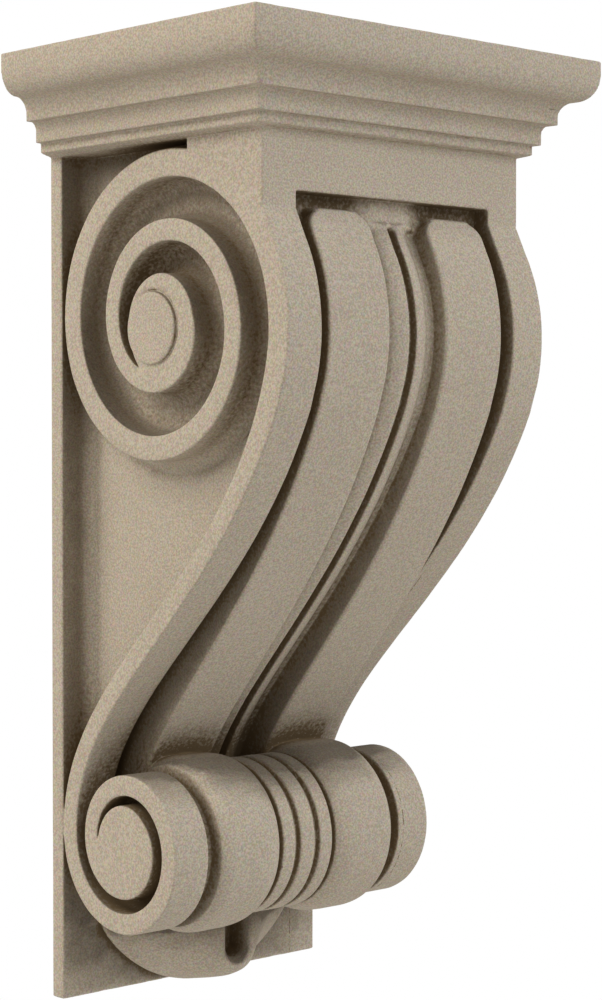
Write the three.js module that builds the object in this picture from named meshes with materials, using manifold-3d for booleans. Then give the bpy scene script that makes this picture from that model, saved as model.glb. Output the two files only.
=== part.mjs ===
import * as THREE from 'three';
import { mergeVertices } from 'three/addons/utils/BufferGeometryUtils.js';
import Module from 'manifold-3d';

// A carved stone corbel in one piece: a moulded cap, an S-shaped body with a volute at each end,
// and a lobe under the lower roll. Millimetres; X across, -Y forward of the wall, Z up.
// Inside this file "forward" is the distance from the wall and heights start at the foot.
const totalHeight = 400;

// Cap: plan size of the top and its moulding, given as insets from the top's outline
// and as drops below the top.
const capWidth = 198.9;
const capDepth = 158.6;
const ovoloInset = 7.5;
const ovoloTopDrop = 5.5;
const ovoloFootDrop = 17.3;
const coveInset = 13;
const coveFootDrop = 24.3;
const firstFilletDrop = 27.1;
const cavettoInset = 15.2;
const secondFilletInset = 18;
const cavettoFootDrop = 31.3;
const secondFilletDrop = 35.7;
const thirdFilletInset = 20.6;
const thirdFilletDrop = 39.8;
const capFootInset = 25.9;
const capFootDrop = 41.3;
const mouldingSteps = 7;

// Body: block under the cap, side reliefs and plate against the wall.
const bodyWidth = 147;
const blockDepth = 133.8;
const kinkHeight = 329.2;
const notchForward = 89;
const notchSeatHeight = 350;
const sideReliefDepth = 14.4;
const plateDepth = 7.4;
const capLap = 1.5;

// Upper volute: two spirals that close in by an equal step each quarter turn.
// Turns are counted in quarters; the outer edge starts at the top, the inner one at the front.
const upperCentre = [72.2, 286];
const upperOuterRadius = 69.7;
const upperOuterLoss = 6.96;
const upperInnerRadius = 64.8;
const upperInnerLoss = 6.44;
const upperInnerStart = -0.2;
const upperInnerEnd = 6.6;
const upperEyeRadius = 20.2;
const upperStepsPerQuarter = 7;

// Low round boss on the upper eye, a little behind its centre.
const bossCentre = [67.6, 284];
const bossRadius = 14.9;
const bossHeight = 1.2;
const bossSteps = 28;

// Front edge of the S, where it leaves the volute and where it ends behind the lower roll.
const crownTurn = -0.5;
const crestStart = -0.72;
const crestEnd = -1.2;
const crestSteps = 6;
const crestInset = 0.5;
const leaveTurn = -1.3;
const frontHandleTop = 92.2;
const frontHandleFoot = 58.9;
const frontSteps = 18;
const backHandleTop = 90.5;
const backHandleFoot = 69.1;
const backSteps = 14;

// Lower volute: both edges start on the wall side and run down, forward and up.
const lowerCentre = [48.2, 70.5];
const lowerOuterRadius = 40.5;
const lowerOuterLoss = 3.64;
const lowerInnerRadius = 31.5;
const lowerInnerLoss = 3.51;
const lowerInnerEnd = 4;
const lowerEyeRadius = 16.9;
const lowerStepsPerQuarter = 6;

// Share of the way round an eye over which the groove beside it runs out.
const eyeRunOut = 0.25;
const eyeSteps = 16;

// Front panel: distances run down the front from the foot of the cap,
// levels are heights over the front edge of the S.
const panelHalfWidth = 55.3;
const panelTop = 22.9;
const panelFloor = -8.4;
const panelClear = 24;
const fieldHalfWidth = 11;
const fieldFootHalfWidth = 22;
const fieldLevel = -5;
const fieldEndDistance = 31.8;
const reliefBed = -10.4;

// Straps: one each side of the middle, rising away from the front edge towards the foot.
const strapTop = 28.5;
const strapInner = 16.2;
const strapOuter = 49.8;
const strapFootInner = 12;
const strapFootDrop = 3.2;
const strapRounding = 1.4;
const strapInnerCornerRadius = 7.6;
const strapOuterCornerRadius = 8.8;
const strapCornerSteps = 4;
const strapStartLevel = -0.5;
const strapDip = 1.1;
const strapDipStartDistance = 30;
const strapDipEndDistance = 80;
const strapRise = 13.6;
const strapRiseStartDistance = 94;
const strapRiseEndDistance = 304;

// Two beads in the middle, on a bed of their own, each rounded more on the side of its strap.
const beadInner = 2;
const beadOuter = 10.2;
const beadHeight = 4.6;
const beadInnerRounding = 0.7;
const beadOuterRounding = 3.4;
const beadSteps = 3;
const beadTop = 31.2;
const bedHalfWidth = 13;
const beadStartLevel = -4.7;
const beadRise = 8.4;
const beadRiseStartDistance = 106;
const beadRiseEndDistance = 296;

// Lower roll, turned about an axis across the corbel.
const rollCentre = [48.6, 68.1];
const rollSegments = 44;
const rollHalfWidth = 56.3;
const ringCrest = 33.6;
const ringGroove = 30.8;
const ringRounding = 1;
const ringSlope = 0.2;
const middleRingHalf = 4.2;
const sideRingInnerDistance = 7;
const sideRingOuterDistance = 14.4;
const bulgeInnerDistance = 16.4;
const bulgeCrestDistance = 38;
const bulgeOuterDistance = 49.4;
const bulgeCrest = 37.3;
const bulgeInnerDrop = 4.2;
const bulgeInnerPower = 5;
const bulgeOuterDrop = 1.8;
const bulgeOuterPower = 3;
const bulgeSteps = 5;
const endGrooveRadius = 28;
const endGrooveDistance = 50.2;

// Filling between the wall side and the back of the roll.
const backFillFoot = 50;
const backFillTop = 84;
const backFillForward = 26;

// Lobe under the roll: prow-shaped in plan, with a slot down its nose.
const lobeCentreHeight = 67.2;
const lobeContactRadius = 64.8;
const lobeRimRadius = 68.8;
const lobeRimForward = 11.2;
const lobeNoseShare = 0.2;
const lobeNoseForward = 38.8;
const lobeFootForward = 7.2;
const lobeNoseStart = -2;
const lobeNoseRise = 18;
const lobeNosePower = 4.5;
const lobeFlankHollow = 0.06;
const lobeFlankSteps = 3;
const lobeBottom = -1.5;
const lobeTop = 60;
const lobeRings = 11;
const lobeRingSpread = 2.4;
const lobeMaxHalfWidth = 54;
const lobeFootShare = 0.6;
const slotHalfWidth = 5.6;
const slotCentreHeight = 17;
const slotTopHeight = 50;
const slotBackForward = 20;
const slotLipForward = 33;
const slotLipReach = 7;
const slotLipFlare = 5.4;
const slotLipSteps = 3;
const slotSteps = 8;

const quarter = Math.PI / 2;
const fullTurn = 2 * Math.PI;
const stone = new THREE.MeshStandardMaterial({ color: '#aca393', roughness: 0.92, metalness: 0 });

const wasm = await Module();
wasm.setup();

// Closed mesh with shared corners, without collapsed triangles.
function toSolid(geometry) {
  const bare = geometry.clone();
  bare.deleteAttribute('normal');
  bare.deleteAttribute('uv');
  const merged = mergeVertices(bare, 1e-4);
  const source = merged.index.array;
  const triangles = [];
  for (let i = 0; i < source.length; i += 3) {
    const [a, b, c] = source.slice(i, i + 3);
    if (a !== b && b !== c && c !== a) {
      triangles.push(a, b, c);
    }
  }
  const mesh = new wasm.Mesh({
    numProp: 3,
    vertProperties: new Float32Array(merged.attributes.position.array),
    triVerts: new Uint32Array(triangles),
  });
  return new wasm.Manifold(mesh);
}

function toGeometry(solid) {
  const mesh = solid.getMesh();
  const geometry = new THREE.BufferGeometry();
  geometry.setAttribute('position', new THREE.BufferAttribute(new Float32Array(mesh.vertProperties), 3));
  geometry.setIndex(new THREE.BufferAttribute(new Uint32Array(mesh.triVerts), 1));
  geometry.computeVertexNormals();
  return geometry;
}

// Solid through a row of sections. Each section is a flat outline and a rule that places its
// points in space; all outlines have the same number of points.
function loft(sections) {
  const count = sections[0].flat.length;
  const positions = sections.flatMap(({ flat, place }) => flat.flatMap(([a, b]) => place(a, b)));
  const indices = [];
  for (let ring = 0; ring < sections.length - 1; ring += 1) {
    for (let i = 0; i < count; i += 1) {
      const next = (i + 1) % count;
      const low = ring * count;
      const high = low + count;
      indices.push(low + i, low + next, high + next);
      indices.push(low + i, high + next, high + i);
    }
  }
  const closeEnd = (ring, facing) => {
    const outline = sections[ring].flat.map(([a, b]) => new THREE.Vector2(a, b));
    const turn = Math.sign(THREE.ShapeUtils.area(outline));
    for (const [a, b, c] of THREE.ShapeUtils.triangulateShape(outline, [])) {
      const corners = [a, b, c].map((i) => outline[i]);
      const same = Math.sign(THREE.ShapeUtils.area(corners)) === turn * facing;
      const face = same ? [a, b, c] : [a, c, b];
      indices.push(...face.map((i) => i + ring * count));
    }
  };
  closeEnd(0, -1);
  closeEnd(sections.length - 1, 1);
  const at = (i) => new THREE.Vector3(...positions.slice(3 * i, 3 * i + 3));
  let volume = 0;
  for (let i = 0; i < indices.length; i += 3) {
    volume += at(indices[i]).dot(at(indices[i + 1]).cross(at(indices[i + 2])));
  }
  if (volume < 0) {
    indices.reverse();
  }
  const geometry = new THREE.BufferGeometry();
  geometry.setAttribute('position', new THREE.Float32BufferAttribute(positions, 3));
  geometry.setIndex(indices);
  return toSolid(geometry);
}

// Solid between two planes across the corbel, from an outline of forward and height.
function acrossWidth(outline, fromX, toX) {
  const section = (x) => ({ flat: outline, place: (forward, height) => [x, -forward, height] });
  return loft([section(fromX), section(toX)]);
}

// The same outline on both sides, between two distances from the middle.
function onBothSides(outline, inner, outer) {
  return acrossWidth(outline, inner, outer).add(acrossWidth(outline, -outer, -inner));
}

function range(from, to, steps) {
  return Array.from({ length: steps + 1 }, (_, i) => from + ((to - from) * i) / steps);
}

function smoothStep(from, to, value) {
  const t = THREE.MathUtils.clamp((value - from) / (to - from), 0, 1);
  return t * t * (3 - 2 * t);
}

// Side spirals.
function spiral(centre, radius, loss, startAngle) {
  const at = (turn, inset = 0) => {
    const angle = startAngle + quarter * turn;
    const reach = radius - loss * turn - inset;
    return [centre[0] + reach * Math.cos(angle), centre[1] + reach * Math.sin(angle)];
  };
  const heading = (turn) => {
    const angle = startAngle + quarter * turn;
    const reach = radius - loss * turn;
    const along = new THREE.Vector2(
      -loss * Math.cos(angle) - reach * quarter * Math.sin(angle),
      -loss * Math.sin(angle) + reach * quarter * Math.cos(angle),
    );
    return along.normalize();
  };
  const run = (from, to, perQuarter) => {
    const steps = Math.ceil(Math.abs(to - from) * perQuarter);
    return range(from, to, steps).map((turn) => at(turn));
  };
  return { at, heading, run };
}

// Round an eye, from the narrow end of the groove back to where the outer edge arrives.
function eyeEdge(centre, radius, tip, from, to, steps) {
  return range(0, 1, steps).map((t) => {
    const angle = from + (to - from) * t;
    const reach = radius + (tip - radius) * Math.max(1 - t / eyeRunOut, 0) ** 2;
    return [centre[0] + reach * Math.cos(angle), centre[1] + reach * Math.sin(angle)];
  });
}

function arc(centre, radius, from, to, steps) {
  return range(from, to, steps).map((angle) => [
    centre[0] + radius * Math.cos(angle),
    centre[1] + radius * Math.sin(angle),
  ]);
}

// Curve between two points with a handle at each, end points included.
function sweep(start, startHeading, startHandle, end, endHeading, endHandle, steps) {
  const first = new THREE.Vector2(...start);
  const last = new THREE.Vector2(...end);
  const curve = new THREE.CubicBezierCurve(
    first,
    first.clone().addScaledVector(startHeading, startHandle),
    last.clone().addScaledVector(endHeading, -endHandle),
    last,
  );
  return curve.getPoints(steps).map((point) => [point.x, point.y]);
}

const upperOuter = spiral(upperCentre, upperOuterRadius, upperOuterLoss, quarter);
const upperInner = spiral(upperCentre, upperInnerRadius, upperInnerLoss, 0);
const lowerOuter = spiral(lowerCentre, lowerOuterRadius, lowerOuterLoss, Math.PI);
const lowerInner = spiral(lowerCentre, lowerInnerRadius, lowerInnerLoss, Math.PI);

// Front edge of the S, from under the block to behind the roll.
const crest = range(crestStart, crestEnd, crestSteps).map((turn) => upperOuter.at(turn, crestInset));
const frontSweep = sweep(
  upperOuter.at(leaveTurn, crestInset / 2),
  upperOuter.heading(leaveTurn).negate(),
  frontHandleTop,
  lowerInner.at(0),
  lowerInner.heading(0),
  frontHandleFoot,
  frontSteps,
);
const frontEdge = [[blockDepth, kinkHeight], ...crest, ...frontSweep];

// Back edge of the S, from the lower volute up into the upper one.
const backEdge = sweep(
  lowerOuter.at(0),
  lowerOuter.heading(0).negate(),
  backHandleFoot,
  upperInner.at(upperInnerStart),
  upperInner.heading(upperInnerStart),
  backHandleTop,
  backSteps,
);

// Edges of the eyes, up to where the groove between the turns runs out.
const upperOuterEnd = (upperOuterRadius - upperEyeRadius) / upperOuterLoss;
const upperEye = eyeEdge(
  upperCentre,
  upperEyeRadius,
  upperInnerRadius - upperInnerLoss * upperInnerEnd,
  quarter * upperInnerEnd,
  quarter * (upperOuterEnd + 1) - fullTurn,
  eyeSteps,
);
const lowerOuterEnd = (lowerOuterRadius - lowerEyeRadius) / lowerOuterLoss;
const lowerEye = eyeEdge(
  lowerCentre,
  lowerEyeRadius,
  lowerInnerRadius - lowerInnerLoss * lowerInnerEnd,
  Math.PI + quarter * lowerInnerEnd,
  Math.PI + quarter * lowerOuterEnd - fullTurn,
  eyeSteps,
);

// Ribbon that forms both volutes and the S between them.
const ribbon = [
  ...upperOuter.run(upperOuterEnd, crownTurn, upperStepsPerQuarter),
  ...frontEdge,
  ...lowerInner.run(0, lowerInnerEnd, lowerStepsPerQuarter).slice(1),
  ...lowerEye.slice(1, -1),
  ...lowerOuter.run(lowerOuterEnd, 0, lowerStepsPerQuarter),
  ...backEdge.slice(1),
  ...upperInner.run(upperInnerStart, upperInnerEnd, upperStepsPerQuarter).slice(1),
  ...upperEye.slice(1, -1),
];

const capFoot = totalHeight - capFootDrop;
const bodyTop = capFoot + capLap;
const halfBody = bodyWidth / 2;
const halfCore = halfBody - sideReliefDepth;

// Distances down the front and the direction square to it at every corner of its outline.
const frontPath = [[blockDepth, capFoot], ...frontEdge].map((point) => new THREE.Vector2(...point));
const frontHeadings = frontPath.slice(1).map((point, i) => point.clone().sub(frontPath[i]).normalize());
const squareTo = (heading) => new THREE.Vector2(-heading.y, heading.x);
const frontDistances = frontPath.reduce((sums, point, i) => {
  sums.push(i === 0 ? 0 : sums[i - 1] + point.distanceTo(frontPath[i - 1]));
  return sums;
}, []);
const frontLength = frontDistances[frontDistances.length - 1];

function stationAt(distance) {
  const corner = frontDistances.indexOf(distance);
  if (corner > 0 && corner < frontPath.length - 1) {
    const before = squareTo(frontHeadings[corner - 1]);
    const after = squareTo(frontHeadings[corner]);
    const middle = before.clone().add(after).normalize();
    middle.divideScalar(middle.dot(after));
    return { distance, point: frontPath[corner], out: middle };
  }
  const found = frontDistances.findIndex((reach) => reach > distance);
  const part = found < 0 ? frontHeadings.length - 1 : found - 1;
  const beyond = distance - frontDistances[part];
  const point = frontPath[part].clone().addScaledVector(frontHeadings[part], beyond);
  return { distance, point, out: squareTo(frontHeadings[part]) };
}

// Solid that follows the front, from an outline of across and level at each distance.
function alongFront(from, to, outlineAt, extra = []) {
  const between = frontDistances.filter((distance) => distance > from && distance < to);
  const distances = [from, ...extra, ...between, to].sort((a, b) => a - b);
  return loft(distances.map((distance) => {
    const { point, out } = stationAt(distance);
    return {
      flat: outlineAt(distance),
      place: (x, level) => [x, -(point.x + level * out.x), point.y + level * out.y],
    };
  }));
}

const mirrored = (solid) => solid.add(solid.mirror([1, 0, 0]));

function crownLevel(distance) {
  const dip = strapDip * smoothStep(strapDipStartDistance, strapDipEndDistance, distance);
  const rise = strapRise * smoothStep(strapRiseStartDistance, strapRiseEndDistance, distance);
  return strapStartLevel - dip + rise;
}

function beadLevel(distance) {
  return beadStartLevel + beadRise * smoothStep(beadRiseStartDistance, beadRiseEndDistance, distance);
}

function makeCap() {
  const ovoloDepth = ovoloFootDrop - ovoloTopDrop;
  const coveDepth = coveFootDrop - ovoloFootDrop;
  const cavettoDepth = cavettoFootDrop - firstFilletDrop;
  const steps = range(0, quarter, mouldingSteps);
  const profile = [
    [0, 0],
    ...steps.map((t) => [ovoloInset * (1 - Math.cos(t)), ovoloTopDrop + ovoloDepth * Math.sin(t)]),
    ...steps.slice(1).map((t) => [
      ovoloInset + (coveInset - ovoloInset) * Math.sin(t),
      coveFootDrop - coveDepth * Math.cos(t),
    ]),
    [coveInset, firstFilletDrop],
    ...steps.map((t) => [
      cavettoInset + (secondFilletInset - cavettoInset) * Math.sin(t),
      cavettoFootDrop - cavettoDepth * Math.cos(t),
    ]),
    [secondFilletInset, secondFilletDrop],
    [thirdFilletInset, secondFilletDrop],
    [thirdFilletInset, thirdFilletDrop],
    [capFootInset, capFootDrop],
  ];
  return loft(profile.map(([inset, drop]) => {
    const half = capWidth / 2 - inset;
    const depth = capDepth - inset;
    return {
      flat: [[-half, 0], [half, 0], [half, depth], [-half, depth]],
      place: (x, forward) => [x, -forward, totalHeight - drop],
    };
  }));
}

function makeBody() {
  const side = [[0, bodyTop], [blockDepth, bodyTop], ...frontEdge, [0, lowerCentre[1]]];
  const panel = alongFront(panelTop, frontLength, () => [
    [-panelHalfWidth, panelFloor],
    [panelHalfWidth, panelFloor],
    [panelHalfWidth, panelClear],
    [-panelHalfWidth, panelClear],
  ]);
  const block = [
    [notchForward, bodyTop],
    [blockDepth, bodyTop],
    [blockDepth, kinkHeight],
    [notchForward, notchSeatHeight],
  ];
  const plate = [[0, 0], [plateDepth, 0], [plateDepth, bodyTop], [0, bodyTop]];
  const boss = arc(bossCentre, bossRadius, 0, fullTurn, bossSteps).slice(1);
  const fill = [
    [0, backFillFoot],
    [backFillForward, backFillFoot],
    [backFillForward, backFillTop],
    [0, backFillTop],
  ];
  return acrossWidth(side, -halfCore, halfCore)
    .subtract(panel)
    .add(onBothSides(ribbon, panelHalfWidth, halfBody))
    .add(onBothSides(block, panelHalfWidth, halfBody))
    .add(onBothSides(boss, panelHalfWidth, halfBody + bossHeight))
    .add(onBothSides(lowerOuter.run(0, lowerInnerEnd, lowerStepsPerQuarter), panelHalfWidth, halfCore))
    .add(acrossWidth(plate, -halfBody, halfBody))
    .add(acrossWidth(fill, -panelHalfWidth, panelHalfWidth));
}

function makeStrap() {
  const cornerInset = (distance, radius) => {
    const left = Math.max(radius - (distance - strapTop), 0);
    return radius - Math.sqrt(radius ** 2 - left ** 2);
  };
  const turns = range(0, quarter, strapCornerSteps);
  const corners = turns.map((t) => strapTop + strapOuterCornerRadius * (1 - Math.cos(t)));
  return alongFront(strapTop, frontLength, (distance) => {
    const crown = crownLevel(distance);
    const inner = strapInner + cornerInset(distance, strapInnerCornerRadius);
    const outer = strapOuter - cornerInset(distance, strapOuterCornerRadius);
    const foot = strapFootInner + cornerInset(distance, strapInnerCornerRadius);
    return [
      [foot, reliefBed],
      [foot, beadLevel(distance) - strapFootDrop],
      [inner - strapRounding / 2, crown - strapRounding],
      [inner + strapRounding / 2, crown],
      [outer - strapRounding, crown],
      [outer - strapRounding / 3, crown - strapRounding / 3],
      [outer, crown - strapRounding],
      [outer, reliefBed],
    ];
  }, corners.slice(1));
}

function makeBeads() {
  const turns = range(0, quarter, beadSteps);
  return alongFront(beadTop, frontLength, (distance) => {
    const crown = beadLevel(distance);
    const bed = crown - beadHeight;
    const side = [
      [bedHalfWidth, reliefBed],
      [bedHalfWidth, bed],
      [beadOuter, bed],
      ...turns.map((t) => [
        beadOuter - beadOuterRounding * (1 - Math.cos(t)),
        crown - beadOuterRounding * (1 - Math.sin(t)),
      ]),
      [beadInner + beadInnerRounding, crown],
      [beadInner, crown - beadInnerRounding],
      [beadInner, bed],
    ];
    return [...side, ...side.map(([x, level]) => [-x, level]).reverse()];
  });
}

function makeField() {
  return alongFront(panelTop, fieldEndDistance, () => [
    [-fieldFootHalfWidth, reliefBed],
    [fieldFootHalfWidth, reliefBed],
    [fieldHalfWidth, fieldLevel],
    [-fieldHalfWidth, fieldLevel],
  ]);
}

function makeRoll() {
  const ring = (from, to) => [
    [from - ringSlope, ringGroove],
    [from, ringCrest - ringRounding],
    [from + ringRounding, ringCrest],
    [to - ringRounding, ringCrest],
    [to, ringCrest - ringRounding],
    [to + ringSlope, ringGroove],
  ];
  const bulgeRadius = (x) => {
    const inward = Math.max(bulgeCrestDistance - x, 0) / (bulgeCrestDistance - bulgeInnerDistance);
    const outward = Math.max(x - bulgeCrestDistance, 0) / (bulgeOuterDistance - bulgeCrestDistance);
    const drop = bulgeInnerDrop * inward ** bulgeInnerPower + bulgeOuterDrop * outward ** bulgeOuterPower;
    return bulgeCrest - drop;
  };
  const bulge = [
    ...range(bulgeInnerDistance, bulgeCrestDistance, bulgeSteps),
    ...range(bulgeCrestDistance, bulgeOuterDistance, bulgeSteps).slice(1),
  ];
  const side = [
    ...ring(-middleRingHalf, middleRingHalf).slice(3),
    ...ring(sideRingInnerDistance, sideRingOuterDistance),
    [bulgeInnerDistance - ringSlope, ringGroove],
    ...bulge.map((x) => [x, bulgeRadius(x)]),
    [endGrooveDistance, endGrooveRadius],
    [rollHalfWidth, endGrooveRadius],
    [rollHalfWidth, 0],
  ];
  const profile = [...side.map(([x, radius]) => [-x, radius]).reverse(), ...side];
  const turning = profile.map(([x, radius]) => new THREE.Vector2(radius, x));
  const turned = new THREE.LatheGeometry(turning, rollSegments);
  turned.rotateZ(-quarter);
  turned.translate(0, -rollCentre[0], rollCentre[1]);
  return toSolid(turned);
}

function makeLobe() {
  const reach = (radius, height) => Math.sqrt(Math.max(radius ** 2 - (lobeCentreHeight - height) ** 2, 0));
  const lobeHeight = lobeTop - lobeBottom;
  const heights = range(0, 1, lobeRings).map((t) => lobeBottom + lobeHeight * t ** lobeRingSpread);
  const body = loft(heights.map((height) => {
    const rim = Math.min(reach(lobeRimRadius, height), lobeMaxHalfWidth);
    const contact = Math.max(Math.min(reach(lobeContactRadius, height), rim), rim * lobeFootShare);
    const rise = 1 - (1 - Math.min((height - lobeNoseStart) / lobeNoseRise, 1)) ** lobeNosePower;
    const nose = lobeFootForward + (lobeNoseForward - lobeFootForward) * rise;
    const noseHalf = lobeNoseShare * rim;
    const flank = range(0, 1, lobeFlankSteps).map((t) => [
      rim + (noseHalf - rim) * t - lobeFlankHollow * rim * Math.sin(Math.PI * t),
      lobeRimForward + (nose - lobeRimForward) * t,
    ]);
    const side = [[contact, 0], [contact, plateDepth], ...flank];
    return {
      flat: [...side, ...side.map(([x, forward]) => [-x, forward]).reverse()],
      place: (x, forward) => [x, -forward, height],
    };
  }));
  const slotForwards = [
    [slotBackForward, 0],
    ...range(0, 1, slotLipSteps).map((t) => [slotLipForward + slotLipReach * t, slotLipFlare * t ** 2]),
  ];
  const slot = loft(slotForwards.map(([forward, flare]) => {
    const half = slotHalfWidth + flare;
    const foot = arc([0, slotCentreHeight], half, Math.PI, 2 * Math.PI, slotSteps);
    return {
      flat: [[half, slotTopHeight], [-half, slotTopHeight], ...foot],
      place: (x, height) => [x, -forward, height],
    };
  }));
  return body.subtract(slot);
}

const corbel = makeBody()
  .add(makeCap())
  .add(mirrored(makeStrap()))
  .add(makeBeads())
  .add(makeField())
  .add(makeRoll())
  .add(makeLobe())
  .translate([0, 0, -totalHeight / 2]);

const mesh = new THREE.Mesh(toGeometry(corbel), stone);
mesh.name = 'corbel';

const part = new THREE.Group();
part.name = 'stone_corbel';
part.add(mesh);

export default part;
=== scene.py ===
import math

import bmesh
import bpy
import numpy as np
import openvdb
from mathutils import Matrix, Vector


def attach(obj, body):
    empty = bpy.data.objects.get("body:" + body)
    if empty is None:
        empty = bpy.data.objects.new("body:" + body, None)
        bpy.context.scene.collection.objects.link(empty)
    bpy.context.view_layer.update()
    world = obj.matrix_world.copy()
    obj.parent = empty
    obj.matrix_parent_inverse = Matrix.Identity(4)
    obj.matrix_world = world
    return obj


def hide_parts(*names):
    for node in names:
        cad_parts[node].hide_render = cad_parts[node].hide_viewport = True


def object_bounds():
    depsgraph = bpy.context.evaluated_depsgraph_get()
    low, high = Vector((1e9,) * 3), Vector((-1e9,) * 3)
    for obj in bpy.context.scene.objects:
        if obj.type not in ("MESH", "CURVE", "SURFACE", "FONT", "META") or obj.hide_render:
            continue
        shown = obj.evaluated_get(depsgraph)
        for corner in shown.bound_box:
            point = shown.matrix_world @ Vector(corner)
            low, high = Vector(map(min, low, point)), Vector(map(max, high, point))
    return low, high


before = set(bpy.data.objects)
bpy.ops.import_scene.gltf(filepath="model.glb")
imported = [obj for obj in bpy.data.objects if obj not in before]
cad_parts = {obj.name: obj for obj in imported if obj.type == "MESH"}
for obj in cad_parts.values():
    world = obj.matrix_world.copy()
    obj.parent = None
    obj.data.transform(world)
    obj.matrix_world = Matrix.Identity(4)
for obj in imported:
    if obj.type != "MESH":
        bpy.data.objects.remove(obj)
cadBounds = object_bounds()

# The corbel's measures, in millimetres. "Forward" is the distance from the wall, heights start at
# the foot of the plate at the back, and the corbel is the same on both sides of its middle.
cap = {
    "top": 400.0,
    "width": 198.9,
    "depth": 158.6,
    "ovoloInset": 7.5,
    "ovoloTopDrop": 5.5,
    "ovoloFootDrop": 17.3,
    "coveInset": 13.0,
    "coveFootDrop": 24.3,
    "firstFilletDrop": 27.1,
    "cavettoInset": 15.2,
    "secondFilletInset": 18.0,
    "cavettoFootDrop": 31.3,
    "secondFilletDrop": 35.7,
    "thirdFilletInset": 20.6,
    "thirdFilletDrop": 39.8,
    "footInset": 25.9,
    "footDrop": 41.3,
    "arrisRounding": 0.5,
    "footRounding": 0.35,
    "curveSteps": 24,
}

body = {
    "halfWidth": 73.5,
    "blockDepth": 133.8,
    "kinkHeight": 329.2,
    "notchForward": 89.0,
    "notchSeatHeight": 350.0,
    "sideReliefDepth": 14.4,
    "sideReliefCove": 6.0,
    "plateDepth": 7.4,
    "fillFoot": 50.0,
    "fillTop": 84.0,
    "fillForward": 26.0,
    "capLap": 2.0,
    "edgeRounding": 0.7,
    "plateRounding": 0.4,
    "fillet": 0.5,
}

# Volutes: two spirals each, whose radii lose an equal step every quarter turn.
upperVolute = {
    "centre": (72.2, 286.0),
    "outerRadius": 69.7,
    "outerLoss": 6.96,
    "outerStartAngle": math.pi / 2,
    "innerRadius": 64.8,
    "innerLoss": 6.44,
    "innerStart": -0.2,
    "innerEnd": 6.6,
    "innerStartAngle": 0.0,
    "eyeRadius": 20.2,
    "bossCentre": (67.6, 284.0),
    "bossRadius": 14.9,
    "bossHeight": 1.2,
    "bossGrooveDepth": 0.7,
    "bossGrooveHalfWidth": 1.1,
    "bossGrooveSide": 0.5,
    "bossGrooveShare": 0.6,
    "bossMiddle": 1.0,
}

lowerVolute = {
    "centre": (48.2, 70.5),
    "outerRadius": 40.5,
    "outerLoss": 3.64,
    "outerStartAngle": math.pi,
    "innerRadius": 31.5,
    "innerLoss": 3.51,
    "innerEnd": 4.0,
    "innerStartAngle": math.pi,
    "eyeRadius": 16.9,
}

# Front and back edges of the S, between the volutes.
sweeps = {
    "crownTurn": -0.5,
    "crestStart": -0.72,
    "crestEnd": -1.2,
    "crestInset": 0.5,
    "crestSteps": 14,
    "leaveTurn": -1.3,
    "frontHandleTop": 92.2,
    "frontHandleFoot": 58.9,
    "backHandleTop": 90.5,
    "backHandleFoot": 69.1,
    "stepsPerQuarter": 24,
    "steps": 90,
    "eyeRunOut": 0.25,
    "eyeSteps": 60,
}

# Front relief: distances run down the front from the foot of the cap, levels stand over its edge.
# A rise is a height and the two distances between which it is gained.
panel = {
    "halfWidth": 55.3,
    "top": 22.9,
    "floor": -8.4,
    "cornerRounding": 0.8,
    "fieldHalfWidth": 11.0,
    "fieldFootHalfWidth": 22.0,
    "fieldLevel": -5.0,
    "fieldEnd": 31.8,
    "fieldRounding": 1.0,
    "fieldFade": 2.2,
    "bedDepth": 3.0,
    "clear": 4.0,
}

strap = {
    "top": 28.5,
    "inner": 16.2,
    "outer": 49.8,
    "footInner": 15.3,
    "footDrop": 4.6,
    "innerCornerRadius": 7.6,
    "outerCornerRadius": 8.8,
    "rounding": 1.4,
    "startLevel": -0.5,
    "dip": (-1.1, 30.0, 80.0),
    "rise": (13.6, 94.0, 304.0),
}

beads = {
    "inner": 2.0,
    "slopeStart": 6.0,
    "slopeEnd": 12.6,
    "height": 4.6,
    "innerRounding": 0.7,
    "outerRounding": 2.5,
    "top": 31.2,
    "bedHalfWidth": 16.8,
    "startLevel": -4.7,
    "rise": (8.4, 106.0, 296.0),
}

# Lower roll: rings in the middle, a bulge each side and a groove before the end discs.
roll = {
    "centre": (48.6, 68.1),
    "halfWidth": 57.0,
    "ringCrest": 33.6,
    "ringGroove": 30.8,
    "ringRounding": 1.1,
    "ringSlope": 0.25,
    "ringSteps": 5,
    "middleRingHalf": 4.2,
    "sideRing": (7.0, 14.4),
    "bulgeInner": 16.4,
    "bulgeCentre": 38.0,
    "bulgeOuter": 49.2,
    "bulgeCrest": 37.3,
    "bulgeInnerDrop": 4.2,
    "bulgeInnerPower": 5,
    "bulgeOuterDrop": 3.4,
    "bulgeOuterPower": 4,
    "bulgeSteps": 40,
    "endGroove": (49.9, 28.0),
    "radiusStep": 0.25,
    "reach": 60.0,
}

lobe = {
    "centreHeight": 67.2,
    "contactRadius": 64.8,
    "rimRadius": 68.8,
    "rimForward": 11.2,
    "rimRounding": 2.6,
    "leastRimSquare": 0.04,
    "noseShare": 0.2,
    "noseForward": 38.8,
    "noseRounding": 6.0,
    "footForward": 7.2,
    "noseStart": -2.0,
    "noseRise": 18.0,
    "nosePower": 4.5,
    "flankHollow": 3.0,
    "bottom": -1.5,
    "top": 60.0,
    "maxHalfWidth": 54.0,
    "slotHalfWidth": 5.6,
    "slotCentreHeight": 17.0,
    "slotBack": 25.0,
    "slotLipForward": 33.0,
    "slotLipReach": 7.0,
    "slotLipFlare": 5.4,
    "slotRounding": 3.0,
}

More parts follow.
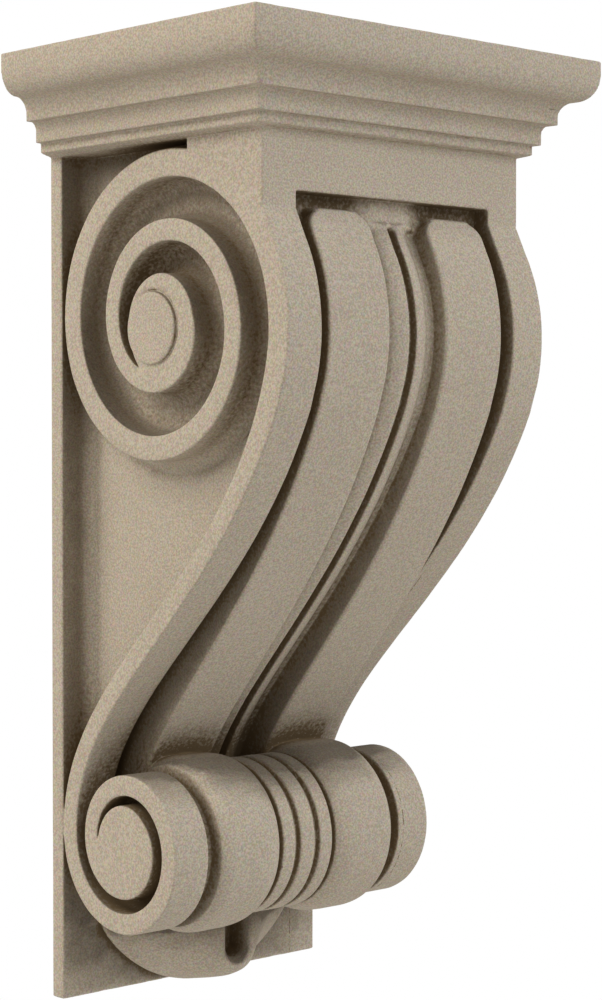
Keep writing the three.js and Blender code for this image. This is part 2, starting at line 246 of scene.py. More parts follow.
# The distances are worked out on a regular grid and drawn as one skin, thinned where it is flat.
skin = {
    "step": 0.5,
    "margin": 3.0,
    "band": 3.0,
    "triangles": 172000,
    "longestEdge": 7.0,
    "splitPasses": 5,
    "flushWithin": 0.2,
    "sharpAngle": 0.5,
    "rippleDepth": 0.04,
    "rippleLength": 11.0,
    "rippleHeadings": ((0.37, 1.0, 0.0), (0.0, -0.58, 0.81), (0.92, 0.0, 0.44)),
}


# Rounded joins of signed distances, which are negative inside.
def roundMax(a, b, radius):
    corner = np.hypot(np.maximum(a + radius, 0), np.maximum(b + radius, 0))
    return np.minimum(np.maximum(a, b) + radius, 0) + corner - radius


def roundMin(a, b, radius):
    return -roundMax(-a, -b, radius)


def risen(start, rise, distance):
    gain, low, high = rise
    t = np.clip((distance - low) / (high - low), 0, 1)
    return start + gain * t * t * (3 - 2 * t)


# Outlines, as rows of forward and height.
class Spiral:
    def __init__(self, centre, radius, loss, startAngle):
        self.centre = np.array(centre)
        self.radius = radius
        self.loss = loss
        self.startAngle = startAngle

    def at(self, turn, inset=0.0):
        angle = self.angle(turn)
        reach = self.radius - self.loss * turn - inset
        return self.centre + reach * np.array([math.cos(angle), math.sin(angle)])

    def angle(self, turn):
        return self.startAngle + math.pi / 2 * turn

    def heading(self, turn):
        along = self.at(turn + 1e-4) - self.at(turn - 1e-4)
        return along / np.linalg.norm(along)

    def run(self, start, end):
        steps = math.ceil(abs(end - start) * sweeps["stepsPerQuarter"])
        return [self.at(turn) for turn in np.linspace(start, end, steps + 1)]


def spiralsOf(volute):
    outer = Spiral(volute["centre"], volute["outerRadius"], volute["outerLoss"], volute["outerStartAngle"])
    inner = Spiral(volute["centre"], volute["innerRadius"], volute["innerLoss"], volute["innerStartAngle"])
    return outer, inner


# The outer edge ends where it meets the eye.
def outerEndOf(volute):
    return (volute["outerRadius"] - volute["eyeRadius"]) / volute["outerLoss"]


# Round the eye, from the narrow end of the groove back to where the outer edge arrives.
def eyeEdge(volute):
    outer, inner = spiralsOf(volute)
    start = inner.angle(volute["innerEnd"])
    end = outer.angle(outerEndOf(volute)) - 2 * math.pi
    eye = volute["eyeRadius"]
    spare = inner.radius - inner.loss * volute["innerEnd"] - eye
    points = []
    for t in np.linspace(0, 1, sweeps["eyeSteps"] + 1):
        angle = start + (end - start) * t
        reach = eye + spare * max(1 - t / sweeps["eyeRunOut"], 0) ** 2
        points.append(inner.centre + reach * np.array([math.cos(angle), math.sin(angle)]))
    return points


def sweepCurve(start, startHeading, startHandle, end, endHeading, endHandle):
    first = start + startHeading * startHandle
    last = end - endHeading * endHandle
    points = []
    for t in np.linspace(0, 1, sweeps["steps"] + 1):
        s = 1 - t
        points.append(s**3 * start + 3 * s * s * t * first + 3 * s * t * t * last + t**3 * end)
    return points


def makeOutlines():
    upperOuter, upperInner = spiralsOf(upperVolute)
    lowerOuter, lowerInner = spiralsOf(lowerVolute)
    turns = np.linspace(sweeps["crestStart"], sweeps["crestEnd"], sweeps["crestSteps"])
    crest = [upperOuter.at(turn, sweeps["crestInset"]) for turn in turns]
    leave = sweeps["leaveTurn"]
    depth = body["blockDepth"]
    front = [np.array([depth, body["kinkHeight"]]), *crest]
    front += sweepCurve(
        upperOuter.at(leave, sweeps["crestInset"] / 2),
        -upperOuter.heading(leave),
        sweeps["frontHandleTop"],
        lowerInner.at(0),
        lowerInner.heading(0),
        sweeps["frontHandleFoot"],
    )
    innerStart = upperVolute["innerStart"]
    back = sweepCurve(
        lowerOuter.at(0),
        -lowerOuter.heading(0),
        sweeps["backHandleFoot"],
        upperInner.at(innerStart),
        upperInner.heading(innerStart),
        sweeps["backHandleTop"],
    )
    ribbon = [
        *upperOuter.run(outerEndOf(upperVolute), sweeps["crownTurn"]),
        *front,
        *lowerInner.run(0, lowerVolute["innerEnd"])[1:],
        *eyeEdge(lowerVolute)[1:-1],
        *lowerOuter.run(outerEndOf(lowerVolute), 0),
        *back[1:],
        *upperInner.run(innerStart, upperVolute["innerEnd"])[1:],
        *eyeEdge(upperVolute)[1:-1],
    ]
    bodyTop = cap["top"] - cap["footDrop"] + body["capLap"]
    block = [
        (body["notchForward"], bodyTop),
        (depth, bodyTop),
        (depth, body["kinkHeight"]),
        (body["notchForward"], body["notchSeatHeight"]),
    ]
    behind = -3 * skin["margin"]
    core = [(behind, bodyTop), (depth, bodyTop), *front, (behind, lowerVolute["centre"][1])]
    web = lowerOuter.run(0, lowerVolute["innerEnd"])
    path = [(depth, cap["top"] - cap["footDrop"]), *front]
    return {"ribbon": ribbon, "block": block, "core": core, "web": web, "path": path}


# Moulding of the cap as rows of inset and drop, closed round the solid side.
def capOutline():
    steps = np.linspace(0, math.pi / 2, cap["curveSteps"])
    ovoloDepth = cap["ovoloFootDrop"] - cap["ovoloTopDrop"]
    coveDepth = cap["coveFootDrop"] - cap["ovoloFootDrop"]
    coveReach = cap["coveInset"] - cap["ovoloInset"]
    cavettoDepth = cap["cavettoFootDrop"] - cap["firstFilletDrop"]
    cavettoReach = cap["secondFilletInset"] - cap["cavettoInset"]
    points = [(0, 0)]
    for t in steps:
        inset = cap["ovoloInset"] * (1 - math.cos(t))
        points.append((inset, cap["ovoloTopDrop"] + ovoloDepth * math.sin(t)))
    for t in steps:
        inset = cap["ovoloInset"] + coveReach * math.sin(t)
        points.append((inset, cap["coveFootDrop"] - coveDepth * math.cos(t)))
    points.append((cap["coveInset"], cap["firstFilletDrop"]))
    for t in steps:
        inset = cap["cavettoInset"] + cavettoReach * math.sin(t)
        points.append((inset, cap["cavettoFootDrop"] - cavettoDepth * math.cos(t)))
    return points + [
        (cap["secondFilletInset"], cap["secondFilletDrop"]),
        (cap["thirdFilletInset"], cap["secondFilletDrop"]),
        (cap["thirdFilletInset"], cap["thirdFilletDrop"]),
        (cap["footInset"], cap["footDrop"]),
        (2 * cap["depth"], cap["footDrop"]),
        (2 * cap["depth"], 0),
    ]


# Half of the turned roll as rows of across and radius, closed along its axis.
def rollOutline():
    crest = roll["ringCrest"]
    groove = roll["ringGroove"]
    soft = roll["ringRounding"]
    slope = roll["ringSlope"]
    turns = np.linspace(0, math.pi / 2, roll["ringSteps"])

    def risingSide(start):
        return [(start - slope, groove)] + [
            (start + soft * (1 - math.cos(t)), crest - soft * (1 - math.sin(t))) for t in turns
        ]

    def fallingSide(end):
        return [
            (end - soft * (1 - math.sin(t)), crest - soft * (1 - math.cos(t))) for t in turns
        ] + [(end + slope, groove)]

    inner = roll["bulgeInner"]
    centre = roll["bulgeCentre"]
    outer = roll["bulgeOuter"]
    bulge = []
    for x in np.linspace(inner, outer, roll["bulgeSteps"]):
        inward = max(centre - x, 0) / (centre - inner)
        outward = max(x - centre, 0) / (outer - centre)
        drop = roll["bulgeInnerDrop"] * inward ** roll["bulgeInnerPower"]
        drop += roll["bulgeOuterDrop"] * outward ** roll["bulgeOuterPower"]
        bulge.append((x, roll["bulgeCrest"] - drop))
    ringStart, ringEnd = roll["sideRing"]
    side = fallingSide(roll["middleRingHalf"]) + risingSide(ringStart) + fallingSide(ringEnd)
    side += [(inner - slope, groove)] + bulge
    side += [roll["endGroove"], (roll["halfWidth"], roll["endGroove"][1]), (roll["halfWidth"], -1)]
    return [(-1, -1), (-1, crest), *side]


# For every grid point: distance to a line of points, running length at the nearest one, and
# whether the closed line goes round it.
def toLine(points, acrossGrid, alongGrid):
    points = np.array(points, dtype=np.float32)
    best = np.full(acrossGrid.shape, np.inf, dtype=np.float32)
    reach = np.zeros_like(best)
    inside = np.zeros(best.shape, dtype=bool)
    length = 0.0
    for (ax, ay), (bx, by) in zip(points[:-1], points[1:]):
        dx = float(bx - ax)
        dy = float(by - ay)
        size = math.hypot(dx, dy)
        if size < 1e-6:
            continue
        px = acrossGrid - ax
        py = alongGrid - ay
        t = np.clip((px * dx + py * dy) / (size * size), 0, 1)
        square = (px - t * dx) ** 2 + (py - t * dy) ** 2
        nearer = square < best
        best = np.where(nearer, square, best)
        reach = np.where(nearer, length + t * size, reach)
        if dy != 0:
            between = (alongGrid >= min(ay, by)) & (alongGrid < max(ay, by))
            inside ^= between & (acrossGrid < ax + (alongGrid - ay) * (dx / dy))
        length += size
    return np.sqrt(best), reach, inside


def signedDistance(outline, acrossGrid, alongGrid):
    distance, _, inside = toLine([*outline, outline[0]], acrossGrid, alongGrid)
    return np.where(inside, -distance, distance).astype(np.float32)


# Straps, beads and the field above them, at one distance from the middle.
def frontSlice(x, level, distance):
    crown = risen(risen(strap["startLevel"], strap["dip"], distance), strap["rise"], distance)
    beadCrown = risen(beads["startLevel"], beads["rise"], distance)
    strapEnd = strap["top"] - distance
    foot = beadCrown - strap["footDrop"]
    run = strap["inner"] - strap["footInner"]
    rise = crown - foot
    innerSide = ((level - foot) * run - (x - strap["footInner"]) * rise) / np.hypot(run, rise)
    outline = np.maximum(
        roundMax(strapEnd, np.float32(x - strap["outer"]), strap["outerCornerRadius"]),
        roundMax(strapEnd, innerSide, strap["innerCornerRadius"]),
    )
    result = roundMax(outline, level - crown, strap["rounding"])

    bed = level - beadCrown + beads["height"]
    beadEnd = beads["top"] - distance
    fall = beads["slopeEnd"] - beads["slopeStart"]
    outerSide = (x - beads["slopeStart"]) * beads["height"] + (level - beadCrown) * fall
    bead = np.maximum(
        roundMax(outerSide / math.hypot(fall, beads["height"]), level - beadCrown, beads["outerRounding"]),
        roundMax(np.float32(beads["inner"] - x), level - beadCrown, beads["innerRounding"]),
    )
    bedded = np.minimum(bead, np.maximum(bed, x - beads["bedHalfWidth"]))
    result = roundMin(result, np.maximum(bedded, beadEnd), body["fillet"])

    fieldRun = panel["fieldFootHalfWidth"] - panel["fieldHalfWidth"]
    fieldRise = panel["fieldLevel"] - panel["floor"]
    slope = (level - panel["floor"]) * fieldRun + (x - panel["fieldFootHalfWidth"]) * fieldRise
    slope = slope / math.hypot(fieldRun, fieldRise)
    field = roundMax(level - panel["fieldLevel"], slope, panel["fieldRounding"])
    field = roundMax(field, distance - panel["fieldEnd"], panel["fieldFade"])
    return roundMin(result, field, panel["fieldFade"])


# Prow-shaped lobe under the roll, with the slot down its nose.
def lobeSlice(x, forward, height):
    below = lobe["centreHeight"] - height
    rim = np.sqrt(np.maximum(lobe["rimRadius"] ** 2 - below**2, lobe["leastRimSquare"]))
    rim = np.minimum(rim, lobe["maxHalfWidth"])
    rise = 1 - (1 - np.clip((height - lobe["noseStart"]) / lobe["noseRise"], 0, 1)) ** lobe["nosePower"]
    nose = lobe["footForward"] + (lobe["noseForward"] - lobe["footForward"]) * rise
    nose = np.maximum(nose, lobe["rimForward"])
    run = nose - lobe["rimForward"]
    spread = rim * (1 - lobe["noseShare"])
    flank = ((x - rim) * run + (forward - lobe["rimForward"]) * spread) / np.hypot(run, spread)
    along = np.clip((rim - x) / spread, 0, 1)
    flank = flank + lobe["flankHollow"] * np.sin(math.pi * along) * run / lobe["noseForward"]
    result = roundMax(flank, forward - nose, lobe["noseRounding"])

    radial = np.hypot(x, np.maximum(below, 0))
    step = lobe["rimForward"] - body["plateDepth"]
    reach = lobe["rimRadius"] - lobe["contactRadius"]
    crevice = (radial - lobe["contactRadius"]) * step - (forward - body["plateDepth"]) * reach
    result = roundMax(result, crevice / math.hypot(step, reach), lobe["rimRounding"])
    result = np.maximum(result, np.maximum(lobe["bottom"] - height, height - lobe["top"]))

    lip = np.clip((forward - lobe["slotLipForward"]) / lobe["slotLipReach"], 0, 1)
    half = lobe["slotHalfWidth"] + lobe["slotLipFlare"] * lip**2
    slot = np.hypot(x, np.minimum(height - lobe["slotCentreHeight"], 0)) - half
    slot = np.maximum(slot, lobe["slotBack"] - forward)
    result = roundMax(result, -slot, lobe["slotRounding"])
    slopeUp = np.gradient(result, skin["step"], axis=1)
    return result / np.sqrt(1 + slopeUp**2)


# Slight unevenness of dressed stone, too shallow to see. It also keeps the thinned faces small.
def rippleSlice(x, forward, height):
    pace = 2 * math.pi / skin["rippleLength"]
    waves = 0
    for shareX, shareForward, shareHeight in skin["rippleHeadings"]:
        waves = waves + np.sin(pace * (shareForward * forward + shareX * x + shareHeight * height))
    return skin["rippleDepth"] * waves / len(skin["rippleHeadings"])


# Signed distance to the whole corbel on the grid, as rows across, forward and up.
def makeDistances():
    step = skin["step"]
    low = -skin["margin"]
    lowHeight = lobe["bottom"] - skin["margin"]
    acrossSteps = np.arange(step / 2, cap["width"] / 2 + skin["margin"], step)
    forwardSteps = np.arange(low, cap["depth"] + skin["margin"], step, dtype=np.float32)
    heightSteps = np.arange(lowHeight, cap["top"] + skin["margin"], step, dtype=np.float32)
    forward, height = np.meshgrid(forwardSteps, heightSteps, indexing="ij")

    outlines = makeOutlines()
    ribbon = signedDistance(outlines["ribbon"], forward, height)
    block = signedDistance(outlines["block"], forward, height)
    core = signedDistance(outlines["core"], forward, height)
    web = signedDistance(outlines["web"], forward, height)
    distance, reach, _ = toLine(outlines["path"], forward, height)
    level = np.where(core < 0, -distance, distance)
    plateFace = forward - body["plateDepth"]
    raised = np.minimum(np.minimum(ribbon, block), plateFace)
    whole = np.minimum(np.minimum(core, web), np.minimum(ribbon, block))
    bossForward, bossUp = upperVolute["bossCentre"]
    fromBoss = np.hypot(forward - bossForward, height - bossUp)
    boss = fromBoss - upperVolute["bossRadius"]
    side = upperVolute["bossGrooveSide"]
    towards = math.cos(side) * (forward - bossForward) + math.sin(side) * (height - bossUp)
    towards = towards / (fromBoss + upperVolute["bossMiddle"])
    groove = np.exp(-((boss / upperVolute["bossGrooveHalfWidth"]) ** 2))
    groove = groove * np.clip(upperVolute["bossGrooveShare"] + towards, 0, 1)
    groove = groove * upperVolute["bossGrooveDepth"]

    insetSteps = np.arange(2 * low, cap["depth"] + step, step, dtype=np.float32)
    inset, drop = np.meshgrid(insetSteps, cap["top"] - heightSteps, indexing="ij")
    moulding = signedDistance(capOutline(), inset, drop)
    radial = np.hypot(forward - roll["centre"][0], height - roll["centre"][1])
    radii = np.arange(0, roll["reach"], roll["radiusStep"], dtype=np.float32)
    rollProfile = rollOutline()
    print("outlines measured")

    rows = []
    for x in acrossSteps:
        x = float(x)
        face = np.float32(x - body["halfWidth"])
        sides = roundMax(raised, face + groove, body["edgeRounding"])
        sides = np.minimum(sides, roundMax(boss, face - upperVolute["bossHeight"], body["edgeRounding"]))
        floor = np.full_like(raised, face + body["sideReliefDepth"])
        solid = np.maximum(roundMin(floor, sides, body["sideReliefCove"]), whole)
        if x < panel["halfWidth"] + panel["clear"]:
            cut = roundMax(panel["top"] - reach, panel["floor"] - level, panel["cornerRounding"])
            cut = roundMax(cut, np.float32(x - panel["halfWidth"]), panel["cornerRounding"])
            solid = roundMax(solid, -cut, body["edgeRounding"])
            relief = np.maximum(frontSlice(x, level, reach), panel["floor"] - panel["bedDepth"] - level)
            solid = roundMin(solid, relief, body["fillet"])
        plate = roundMax(plateFace, face, body["plateRounding"])
        plate = roundMax(plate, -height, body["plateRounding"])
        solid = roundMin(solid, plate, body["fillet"])
        if x < roll["halfWidth"] + skin["margin"]:
            column = signedDistance(rollProfile, np.full_like(radii, x), radii)
            turned = np.interp(radial, radii, column).astype(np.float32)
            solid = roundMin(solid, turned, body["fillet"])
            fill = np.maximum(
                np.maximum(forward - body["fillForward"], x - panel["halfWidth"]),
                np.maximum(body["fillFoot"] - height, height - body["fillTop"]),
            )
            solid = np.minimum(solid, fill)
        if x < lobe["rimRadius"] + skin["margin"]:
            solid = roundMin(solid, lobeSlice(x, forward, height), body["fillet"])
        inward = roundMin(np.float32(cap["width"] / 2 - x), cap["depth"] - forwardSteps, cap["arrisRounding"])
        place = np.clip((inward - insetSteps[0]) / step, 0, len(insetSteps) - 1.001)
        row = place.astype(int)
        part = (place - row)[:, None]
        top = moulding[row] * (1 - part) + moulding[row + 1] * part
        solid = roundMin(solid, top, cap["footRounding"]) + rippleSlice(x, forward, height)
        solid = np.maximum(solid, np.maximum(-forward, height - cap["top"]))
        rows.append(solid.astype(np.float32))
    half = np.stack(rows)
    print("distances filled", half.shape)
    return np.concatenate([half[::-1], half]), np.array([-acrossSteps[-1], low, lowHeight])


def drawSkin(distances, corner):
    step = skin["step"]
    band = skin["band"] * step
    volume = openvdb.FloatGrid(band)
    volume.copyFromArray(np.ascontiguousarray(np.clip(distances, -band, band)))
    points, _, quads = volume.convertToPolygons(isovalue=0.0, adaptivity=0.0)
    across, forward, height = (points * step + corner).T
    placed = np.stack([across, -forward, height - cap["top"] / 2], axis=1) / 1000
    placed = placed.astype(np.float32)
    mesh = bpy.data.meshes.new("corbelDraft")
    mesh.vertices.add(len(placed))
    mesh.vertices.foreach_set("co", placed.ravel())
    mesh.loops.add(4 * len(quads))
    mesh.loops.foreach_set("vertex_index", quads[:, ::-1].astype(np.int32).ravel())
    mesh.polygons.add(len(quads))
    mesh.polygons.foreach_set("loop_start", np.arange(0, 4 * len(quads), 4, dtype=np.int32))
    mesh.update(calc_edges=True)
    mesh.validate()
    print("skin drawn", len(quads))
    return mesh


# Whether an edge lies in the flat back or the flat top.
def isFlush(edge):
    first, second = [vertex.co * 1000 for vertex in edge.verts]
    inBack = min(first.y, second.y) > -skin["flushWithin"]
    return inBack or min(first.z, second.z) > cap["top"] / 2 - skin["flushWithin"]


def isLong(edge):
    return edge.calc_length() * 1000 > skin["longestEdge"] and not isFlush(edge)


# Thins the skin, then splits the long edges left on it, apart from the flat top and back.
def thinSkin(draft):
    rough = bpy.data.objects.new("corbelDraft", draft)
    bpy.context.scene.collection.objects.link(rough)
    thin = rough.modifiers.new("thin", "DECIMATE")
    thin.ratio = min(1.0, skin["triangles"] / (2 * len(draft.polygons)))
    graph = bpy.context.evaluated_depsgraph_get()
    mesh = bpy.data.meshes.new_from_object(rough.evaluated_get(graph))
    bpy.data.objects.remove(rough)
    shape = bmesh.new()
    shape.from_mesh(mesh)
    for _ in range(skin["splitPasses"]):
        longEdges = [edge for edge in shape.edges if isLong(edge)]
        bmesh.ops.subdivide_edges(shape, edges=longEdges, cuts=1)
        bmesh.ops.triangulate(shape, faces=[face for face in shape.faces if len(face.verts) > 3])
    for edge in shape.edges:
        if isFlush(edge) and edge.calc_face_angle(0) > skin["sharpAngle"]:
            edge.smooth = False
    shape.to_mesh(mesh)
    shape.free()
    places = np.empty(3 * len(mesh.vertices), dtype=np.float32)
    mesh.vertices.foreach_get("co", places)
    places = np.clip(places.reshape(-1, 3), *np.array(cadBounds))
    mesh.vertices.foreach_set("co", places.astype(np.float32).ravel())
    mesh.polygons.foreach_set("use_smooth", np.ones(len(mesh.polygons), dtype=bool))
    mesh.update()
    print("skin thinned", len(mesh.polygons))
    return mesh


# How much of the air round a point is closed off by the stone, from rays marched through the
# solid: "shelter" on all sides close by, for painted shade in recesses, and "overhang" for the sky
# alone, for painted shade under the overhang.
openness = {
    "rays": 72,
    "steps": 11,
    "stepPower": 1.5,
    "shelter": {"reach": 30.0, "fade": 0.75, "lowest": -1.0, "lift": 1.0, "coarseness": 2},
    "overhang": {"reach": 170.0, "fade": 0.3, "lowest": 0.0, "lift": 3.0, "coarseness": 4},
}


def measureOpenness(mesh, distances, corner, name):
    reach = openness[name]["reach"]
    fade = openness[name]["fade"]
    lift = openness[name]["lift"]
    every = openness[name]["coarseness"]
    count = len(mesh.vertices)
    points = np.empty(3 * count, dtype=np.float32)
    normals = np.empty(3 * count, dtype=np.float32)
    mesh.vertices.foreach_get("co", points)
    mesh.vertices.foreach_get("normal", normals)
    points = points.reshape(-1, 3) * 1000 + (0, 0, cap["top"] / 2)
    points[:, 1] *= -1
    normals = normals.reshape(-1, 3) * (1, -1, 1)
    solid = distances[::every, ::every, ::every] < 0
    limits = np.array(solid.shape) - 1
    marks = reach * np.linspace(0, 1, openness["steps"] + 1)[1:] ** openness["stepPower"]
    facingSum = np.full(count, 1e-6)
    closedSum = np.zeros(count)
    golden = math.pi * (3 - math.sqrt(5))
    for ray in range(openness["rays"]):
        rise = 1 - (2 * ray + 1) / openness["rays"]
        level = math.sqrt(1 - rise * rise)
        heading = np.array([level * math.cos(golden * ray), level * math.sin(golden * ray), rise])
        facing = normals @ heading
        chosen = np.nonzero(facing > 0)[0]
        facingSum[chosen] += facing[chosen]
        if rise < openness[name]["lowest"]:
            continue
        start = points[chosen] + normals[chosen] * lift - corner
        closed = np.zeros(len(chosen))
        for mark in marks[::-1]:
            cell = np.rint((start + heading * mark) / (skin["step"] * every)).astype(int)
            within = np.all((cell >= 0) & (cell <= limits), axis=1)
            cell = np.clip(cell, 0, limits)
            hit = within & solid[cell[:, 0], cell[:, 1], cell[:, 2]]
            closed = np.where(hit, 1 - fade * mark / reach, closed)
        closedSum[chosen] += facing[chosen] * closed
    layer = mesh.attributes.new(name, "FLOAT", "POINT")
    layer.data.foreach_set("value", (closedSum / facingSum).astype(np.float32))
    print("measured", name)


def makeCorbel():
    distances, corner = makeDistances()
    mesh = thinSkin(drawSkin(distances, corner))
    mesh.name = "corbelStone"
    measureOpenness(mesh, distances, corner, "shelter")
    measureOpenness(mesh, distances, corner, "overhang")
    piece = bpy.data.objects.new("corbel_stone", mesh)
    bpy.context.scene.collection.objects.link(piece)
    return piece


# Shader maths: a wire is a socket that can be added to, multiplied and so on.
class Wire:
    def __init__(self, tree, socket=None):
        self.tree = tree
        self.socket = socket

    # Any node, from its type, its settings and the values or wires of its sockets.
    def node(self, kind, settings, sockets, output):
        made = self.tree.nodes.new(kind)
        for name, value in settings.items():
            setattr(made, name, value)
        for name, value in sockets.items():
            if isinstance(value, Wire):
                self.tree.links.new(value.socket, made.inputs[name])
            else:
                made.inputs[name].default_value = value
        return Wire(self.tree, made.outputs[output])

    def maths(self, operation, *values, clamped=False):
        settings = {"operation": operation, "use_clamp": clamped}
        return self.node("ShaderNodeMath", settings, dict(enumerate(values)), 0)

    def mixed(self, blend, factor, first, second):
        settings = {"data_type": "RGBA", "blend_type": blend}
        return self.node("ShaderNodeMix", settings, {0: factor, 6: first, 7: second}, 2)

    def clamped(self):
        return self.maths("ADD", self, 0.0, clamped=True)

    def noise(self, position, scale, detail, output):
        sockets = {"Vector": position, "Scale": scale, "Detail": detail}
        return self.node("ShaderNodeTexNoise", {}, sockets, output)

    def __add__(self, other):
        return self.maths("ADD", self, other)

    def __sub__(self, other):
        return self.maths("SUBTRACT", self, other)

    def __rsub__(self, other):
        return self.maths("SUBTRACT", other, self)

    def __mul__(self, other):
        return self.maths("MULTIPLY", self, other)

    __radd__ = __add__
    __rmul__ = __mul__


# Sandstone: scales are repeats per metre, so the finest grain is well under a millimetre.
sandstone = {
    "pale": (0.60, 0.52, 0.415, 1),
    "dull": (0.46, 0.39, 0.30, 1),
    # Painted shade in recesses, and also the colour of the seam line.
    "dark": (0.18, 0.126, 0.066, 1),
    # Painted shade under the overhang.
    "gloom": (0.32, 0.31, 0.295, 1),
    "grainScale": 1300.0,
    "grainContrast": 5.8,
    "grainDetail": 1.5,
    "fleckScale": 800.0,
    "fleckDetail": 1.0,
    "fleckStrength": 0.5,
    "gritScale": 680.0,
    "gritDetail": 2.0,
    "patchScale": 26.0,
    "patchDetail": 3.0,
    "patchStrength": 0.6,
    "shelterStart": 0.145,
    "shelterGain": 2.6,
    "shelterGrit": 5.0,
    "overhangStart": 0.09,
    "overhangGain": 4.0,
    "seamPlace": 0.0583,
    "seamHalfWidth": 0.00025,
    "seamTop": -0.02,
    "seamBreak": 0.42,
    "seamStrength": 6.0,
    "roughness": 0.88,
    "gloss": 0.25,
    "bumpStrength": 0.25,
    "bumpDistance": 0.0004,
    "bumpGrit": 0.5,
}


def makeSandstone():
    material = bpy.data.materials.new("sandstone")
    material.use_nodes = True
    tree = material.node_tree
    make = Wire(tree)
    stone = sandstone
    position = make.node("ShaderNodeTexCoord", {}, {}, "Object")
    grain = make.noise(position, stone["grainScale"], stone["grainDetail"], "Fac")
    grit = make.noise(position, stone["gritScale"], stone["gritDetail"], "Fac")
    patches = make.noise(position, stone["patchScale"], stone["patchDetail"], "Fac")
    flecks = make.noise(position, stone["fleckScale"], stone["fleckDetail"], "Color")
    closed = make.node("ShaderNodeAttribute", {"attribute_name": "shelter"}, {}, "Fac")
    above = make.node("ShaderNodeAttribute", {"attribute_name": "overhang"}, {}, "Fac")

    light = (grain - 0.5) * stone["grainContrast"] + (patches - 0.5) * stone["patchStrength"] + 0.5
    colour = make.mixed("MIX", light.clamped(), stone["dull"], stone["pale"])
    colour = make.mixed("SOFT_LIGHT", stone["fleckStrength"], colour, flecks)

    # Painted shade: recesses are darkened towards the dark colour by how closed in they are, in a gritty
    # speckle.
    shade = (closed - stone["shelterStart"]) * stone["shelterGain"]
    shade = shade + (grit - 0.5) * closed * stone["shelterGrit"]
    colour = make.mixed("MIX", shade.clamped(), colour, stone["dark"])
    # Painted shade: faces under the overhang, where the sky is hidden, are darkened by multiplying with the
    # gloom colour.
    gloom = ((above - stone["overhangStart"]) * stone["overhangGain"]).clamped()
    colour = make.mixed("MULTIPLY", gloom * (1 - shade.clamped()), colour, stone["gloom"])

    across = make.node("ShaderNodeSeparateXYZ", {}, {"Vector": position}, "X")
    height = make.node("ShaderNodeSeparateXYZ", {}, {"Vector": position}, "Z")
    offset = make.maths("ABSOLUTE", across - stone["seamPlace"])
    onSeam = make.maths("LESS_THAN", offset, stone["seamHalfWidth"])
    onSeam = onSeam * make.maths("LESS_THAN", height, stone["seamTop"])
    onSeam = onSeam * ((grit - stone["seamBreak"]) * stone["seamStrength"]).clamped()
    colour = make.mixed("MIX", onSeam, colour, stone["dark"])

    surface = tree.nodes["Principled BSDF"]
    surface.inputs["Specular IOR Level"].default_value = stone["gloss"]
    surface.inputs["Roughness"].default_value = stone["roughness"]
    tree.links.new(colour.socket, surface.inputs["Base Color"])
    bumps = {
        "Strength": stone["bumpStrength"],
        "Distance": stone["bumpDistance"],
        "Height": grain + grit * stone["bumpGrit"],
    }
    relief = make.node("ShaderNodeBump", {}, bumps, "Normal")
    tree.links.new(relief.socket, surface.inputs["Normal"])
    return material


# Camera at the photograph's place: seen from the front left, slightly from above.
camera = {
    "lens": 83.82,
    "place": (-0.6763, -0.7980, 0.0373),
    "turn": 43.1839,
    "down": 1.3945,
    "farthest": 50.0,
}


def makeCamera():
    data = bpy.data.cameras.new("camera")
    data.lens = camera["lens"]
    data.clip_end = camera["farthest"]
    view = bpy.data.objects.new("camera", data)
    view.location = camera["place"]
    view.rotation_euler = (math.radians(90 - camera["down"]), 0, -math.radians(camera["turn"]))
    bpy.context.scene.collection.objects.link(view)
    bpy.context.scene.camera = view


# Studio: two wide soft lights above, one to the left and one in front, and a dim white room.
studio = {
    "leftFrom": (-1.0, 0.42, 0.8),
    "leftPower": 42.5,
    "leftColour": (1.0, 0.96, 0.9),
    "frontFrom": (0.5, -1.0, 0.8),
    "frontPower": 31.5,
    "frontColour": (0.93, 0.96, 1.0),
    "lightDistance": 2.4,
    "lightSize": 2.0,
    "roomLight": 0.36,
    "roomColour": (1.0, 0.97, 0.93, 1),
    "seenLight": 1.0,
    "seenColour": (1, 1, 1, 1),
    "floorHeight": -0.9,
    "floorRadius": 2.0,
    "floorCorners": 64,
    "floorColour": (0.8, 0.8, 0.79, 1),
    "floorRoughness": 0.9,
}


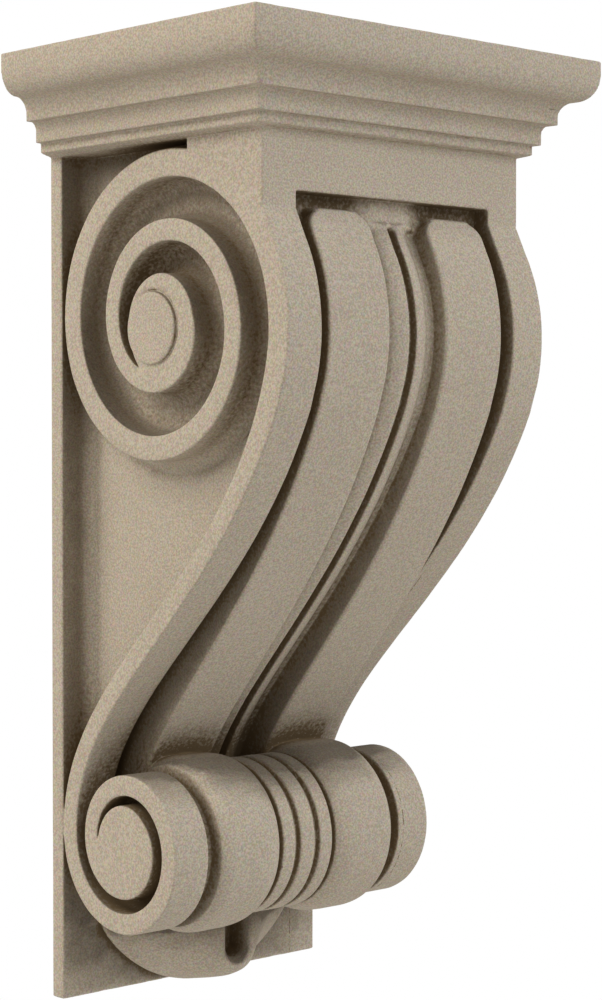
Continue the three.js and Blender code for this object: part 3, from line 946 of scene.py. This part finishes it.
def makeLight(name, direction, power, colour):
    data = bpy.data.lights.new(name, "AREA")
    data.energy = power
    data.size = studio["lightSize"]
    data.color = colour
    light = bpy.data.objects.new(name, data)
    towards = Vector(direction).normalized()
    light.location = towards * studio["lightDistance"]
    light.rotation_euler = towards.to_track_quat("Z", "Y").to_euler()
    bpy.context.scene.collection.objects.link(light)


def makeFloor():
    mesh = bpy.data.meshes.new("floor")
    corners = studio["floorCorners"]
    angles = [2 * math.pi * i / corners for i in range(corners)]
    radius = studio["floorRadius"]
    rim = [(radius * math.cos(a), radius * math.sin(a), studio["floorHeight"]) for a in angles]
    mesh.from_pydata(rim, [], [range(corners)])
    floor = bpy.data.objects.new("floor", mesh)
    bpy.context.scene.collection.objects.link(floor)
    material = bpy.data.materials.new("paleFloor")
    material.use_nodes = True
    surface = material.node_tree.nodes["Principled BSDF"]
    surface.inputs["Base Color"].default_value = studio["floorColour"]
    surface.inputs["Roughness"].default_value = studio["floorRoughness"]
    mesh.materials.append(material)


# The room looks white, and lights the stone less than it looks.
def makeRoom():
    world = bpy.data.worlds.new("studio")
    world.use_nodes = True
    tree = world.node_tree
    make = Wire(tree)
    room = {"Color": studio["roomColour"], "Strength": studio["roomLight"]}
    lit = make.node("ShaderNodeBackground", {}, room, 0)
    plain = {"Color": studio["seenColour"], "Strength": studio["seenLight"]}
    seen = make.node("ShaderNodeBackground", {}, plain, 0)
    direct = make.node("ShaderNodeLightPath", {}, {}, "Is Camera Ray")
    both = make.node("ShaderNodeMixShader", {}, {0: direct, 1: lit, 2: seen}, 0)
    tree.links.new(both.socket, tree.nodes["World Output"].inputs["Surface"])
    bpy.context.scene.world = world
    bpy.context.scene.view_settings.view_transform = "Standard"


makeCamera()
piece = makeCorbel()
piece.data.materials.clear()
piece.data.materials.append(makeSandstone())
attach(piece, "root")
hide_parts("corbel")
print("corbel dressed")

makeFloor()
makeRoom()
makeLight("left", studio["leftFrom"], studio["leftPower"], studio["leftColour"])
makeLight("front", studio["frontFrom"], studio["frontPower"], studio["frontColour"])
print("studio lit")
